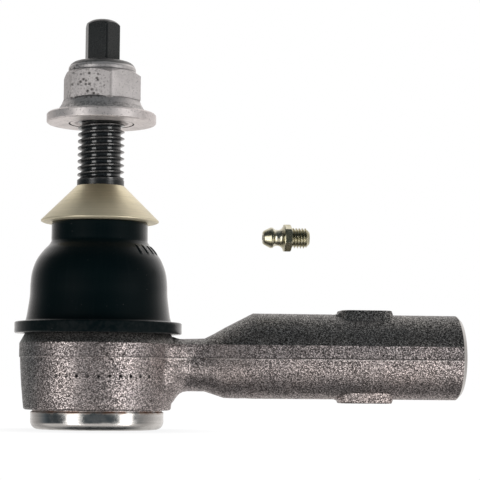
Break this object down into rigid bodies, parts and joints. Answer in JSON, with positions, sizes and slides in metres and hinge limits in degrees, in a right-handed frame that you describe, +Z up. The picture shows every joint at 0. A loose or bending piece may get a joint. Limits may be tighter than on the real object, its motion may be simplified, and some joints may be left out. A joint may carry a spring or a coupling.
{
  "type": "tie rod end",
  "caption": "Ball joint end for a steering linkage: threaded stud with a conical seat and flange lock nut, rubber dust boot, forged socket and a hollow threaded arm.",
  "frame": {"origin": "centre of the ball, on the stud's axis", "axes": "+Z up the stud, +X along the threaded arm"},
  "size_m": [0.1334, 0.0492, 0.1224],
  "materials": {
    "forged_steel": "shot-blasted forging with a turned skirt",
    "black_stud": "black phosphate",
    "zinc_cone": "turned, pale gold zinc",
    "nut_zinc": "satin zinc flake",
    "fitting_zinc": "yellow zinc",
    "cover_steel": "pressed bright steel",
    "spring_steel": "spring steel",
    "boot_rubber": "moulded black rubber",
    "seal_rubber": "rubber",
    "bearing_plastic": "acetal",
    "nylon": "nylon"
  },
  "bodies": {
    "socket": {"housing": "forged_steel", "cover_plate": "cover_steel", "cover_seal": "seal_rubber", "preload_spring": "spring_steel", "boot_base_ring": "spring_steel"},
    "bearing": {"upper_bearing": "bearing_plastic", "lower_bearing": "bearing_plastic", "dust_boot": "boot_rubber"},
    "collar": {"boot_bushing": "bearing_plastic", "boot_collar_ring": "spring_steel"},
    "stud": {"ball_stud": "black_stud", "seat_cone": "zinc_cone"},
    "washer": {"nut_washer": "nut_zinc"},
    "nut": {"flange_nut": "nut_zinc", "locking_ring": "nylon"},
    "fitting": {"grease_fitting": "fitting_zinc", "check_spring": "spring_steel"},
    "check_ball": {"check_ball": "spring_steel"}
  },
  "joints": [
    {"name": "bearing_turn", "type": "hinge", "parent": "socket", "child": "bearing", "pos_m": [0, 0, 0], "axis": [0, 0, 1], "continuous": true},
    {"name": "stud_swing", "type": "hinge", "parent": "bearing", "child": "collar", "pos_m": [0, 0, 0], "axis": [0, 1, 0], "range_deg": [-22, 22], "deforming": ["dust_boot"]},
    {"name": "stud_spin", "type": "hinge", "parent": "collar", "child": "stud", "pos_m": [0, 0, 0], "axis": [0, 0, 1], "continuous": true},
    {"name": "nut_travel", "type": "slide", "parent": "stud", "child": "washer", "axis": [0, 0, 1], "range_m": [-0.0161, 0.0181]},
    {"name": "nut_spin", "type": "hinge", "parent": "washer", "child": "nut", "pos_m": [0, 0, 0.08], "axis": [0, 0, 1], "range_deg": [-2880, 3240]},
    {"name": "fitting_turn", "type": "hinge", "parent": "socket", "child": "fitting", "pos_m": [0.0558, 0, 0.0405], "axis": [1, 0, 0], "continuous": true},
    {"name": "check_lift", "type": "slide", "parent": "fitting", "child": "check_ball", "axis": [1, 0, 0], "range_m": [0, 0.0008], "deforming": ["check_spring"]}
  ],
  "couplings": [
    {"joint": "nut_travel", "follows": "nut_spin", "m_per_rad": 0.00031831}
  ]
}
